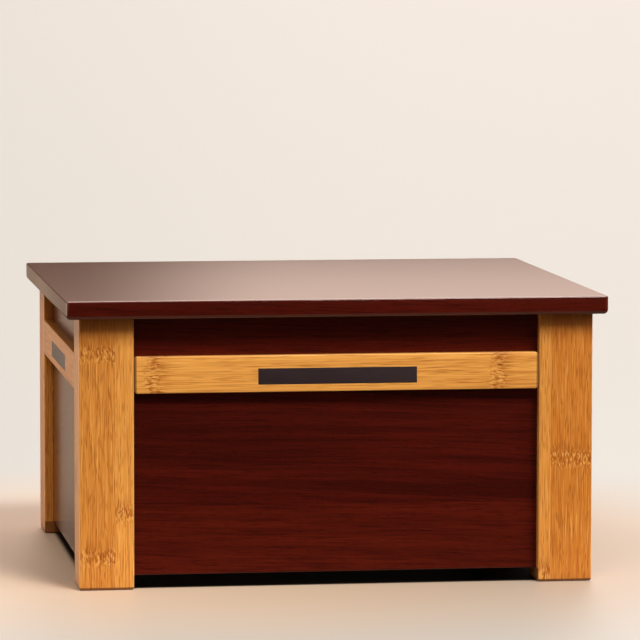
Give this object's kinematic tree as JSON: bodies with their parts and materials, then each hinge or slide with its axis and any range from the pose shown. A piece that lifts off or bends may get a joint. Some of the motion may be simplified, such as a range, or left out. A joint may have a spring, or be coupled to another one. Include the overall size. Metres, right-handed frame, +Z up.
{
  "type": "cremation urn",
  "caption": "Box-shaped cremation urn with dark stained panels between bamboo corner posts, inlaid bamboo rails and a flat overhanging lid that lifts off.",
  "frame": {"origin": "on the floor under the middle of the urn, at the height of the posts' undersides", "axes": "+Z up through the lid, +X along the urn's width to the right of its front, +Y from the front to the back"},
  "size_m": [0.254, 0.234, 0.135],
  "materials": {
    "stained_wood": "dark red-brown stain under satin lacquer, fine grain along the board",
    "bamboo": "caramel bamboo strips with nodes, clear satin lacquer",
    "dark_inlay": "dark brown-grey strip, nearly matt"
  },
  "bodies": {
    "root": {"lid": "stained_wood", "panel_front": "stained_wood", "panel_right": "stained_wood", "panel_back": "stained_wood", "panel_left": "stained_wood", "bottom_board": "stained_wood", "post_front_left": "bamboo", "post_front_right": "bamboo", "post_back_right": "bamboo", "post_back_left": "bamboo", "rail_front": "bamboo", "rail_right": "bamboo", "rail_back": "bamboo", "rail_left": "bamboo", "inlay_front": "dark_inlay", "inlay_right": "dark_inlay", "inlay_back": "dark_inlay", "inlay_left": "dark_inlay"}
  },
  "joints": []
}
